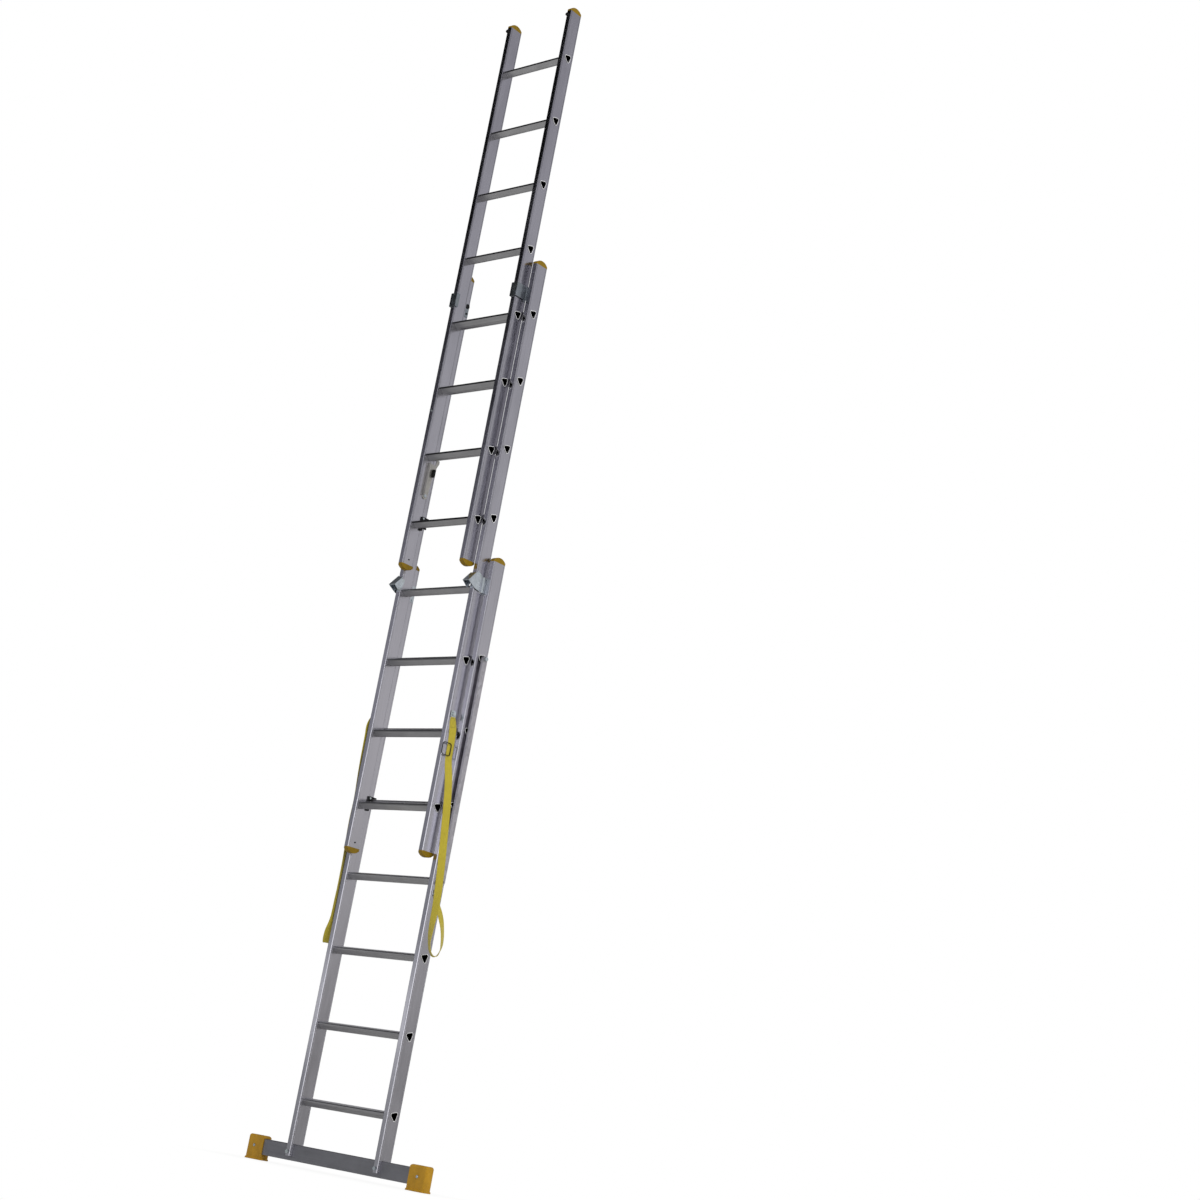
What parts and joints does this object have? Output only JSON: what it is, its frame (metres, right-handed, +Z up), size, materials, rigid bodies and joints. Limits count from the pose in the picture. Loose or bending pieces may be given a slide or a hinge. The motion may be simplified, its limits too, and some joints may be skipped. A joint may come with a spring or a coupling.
{
  "type": "extension ladder",
  "caption": "Raised aluminium extension ladder of nested sliding sections with tilted rungs, lock levers, webbing straps and a stabiliser bar.",
  "frame": {"origin": "centre of the box round the rigid solids, at the soles of the feet", "axes": "+Z up along the stiles, +X to the right seen from the climbing side, +Y from the climbing side to the rear"},
  "size_m": [0.932, 0.179, 4.621],
  "materials": {
    "aluminium": "extruded",
    "rung_aluminium": "extruded",
    "cap_plastic": "moulded",
    "foot_plastic": "moulded",
    "zinc": "zinc plated",
    "black_steel": "black",
    "black_plastic": "moulded",
    "webbing": "woven"
  },
  "bodies": {
    "base": {"base_stile_left": "aluminium", "base_stile_right": "aluminium", "base_rungs": "rung_aluminium", "base_cap_left": "cap_plastic", "base_cap_right": "cap_plastic", "stabiliser_bar": "aluminium", "bar_bolts": "zinc", "foot_left": "foot_plastic", "foot_right": "foot_plastic", "foot_screws": "zinc", "hook_bracket_left": "zinc", "hook_bracket_right": "zinc", "hook_rivets": "zinc", "stay_plugs": "black_plastic", "stay_bolts": "zinc", "base_anchors": "black_steel", "strap_left": "webbing", "strap_right": "webbing"},
    "middle": {"middle_stile_left": "aluminium", "middle_stile_right": "aluminium", "middle_rungs": "rung_aluminium", "middle_top_cap_left": "cap_plastic", "middle_top_cap_right": "cap_plastic", "middle_bottom_cap_left": "cap_plastic", "middle_bottom_cap_right": "cap_plastic", "middle_cap_rivets": "black_steel", "guide_bracket_left": "zinc", "guide_bracket_right": "zinc", "guide_rivets": "black_steel", "middle_rung_hook_left": "black_steel", "middle_rung_hook_right": "black_steel", "middle_hook_rivets": "zinc", "middle_anchors": "zinc", "buckles": "zinc"},
    "top": {"top_stile_left": "aluminium", "top_stile_right": "aluminium", "top_rungs": "rung_aluminium", "top_top_cap_left": "cap_plastic", "top_top_cap_right": "cap_plastic", "top_bottom_cap_left": "cap_plastic", "top_bottom_cap_right": "cap_plastic", "top_cap_rivets": "black_steel", "top_rung_hook_left": "black_steel", "top_rung_hook_right": "black_steel", "top_hook_rivets": "zinc", "lever_pins": "zinc", "stop_knobs": "black_plastic", "stop_bolt": "zinc"},
    "lock_lever_left": {"lock_lever_left": "zinc", "lever_grip_left": "black_plastic"},
    "lock_lever_right": {"lock_lever_right": "zinc", "lever_grip_right": "black_plastic"},
    "stay_left": {"stay_bar_left": "zinc"},
    "stay_right": {"stay_bar_right": "zinc"}
  },
  "joints": [
    {"name": "middle_slide", "type": "slide", "parent": "base", "child": "middle", "axis": [0, 0, 1], "range_m": [-1.12, 0], "deforming": ["strap_left", "strap_right"]},
    {"name": "top_slide", "type": "slide", "parent": "middle", "child": "top", "axis": [0, 0, 1], "range_m": [-1.12, 0]},
    {"name": "lock_left_turn", "type": "hinge", "parent": "top", "child": "lock_lever_left", "pos_m": [-0.15015, -0.0335, 2.557], "axis": [1, 0, 0], "range_deg": [0, 7]},
    {"name": "lock_right_turn", "type": "hinge", "parent": "top", "child": "lock_lever_right", "pos_m": [0.15015, -0.0335, 2.557], "axis": [1, 0, 0], "range_deg": [0, 7]},
    {"name": "stay_left_swing", "type": "hinge", "parent": "base", "child": "stay_left", "pos_m": [-0.2535, 0.054, 1.912], "axis": [1, 0, 0], "range_deg": [-100, 0]},
    {"name": "stay_right_swing", "type": "hinge", "parent": "base", "child": "stay_right", "pos_m": [0.2535, 0.054, 1.912], "axis": [1, 0, 0], "range_deg": [-100, 0]}
  ]
}
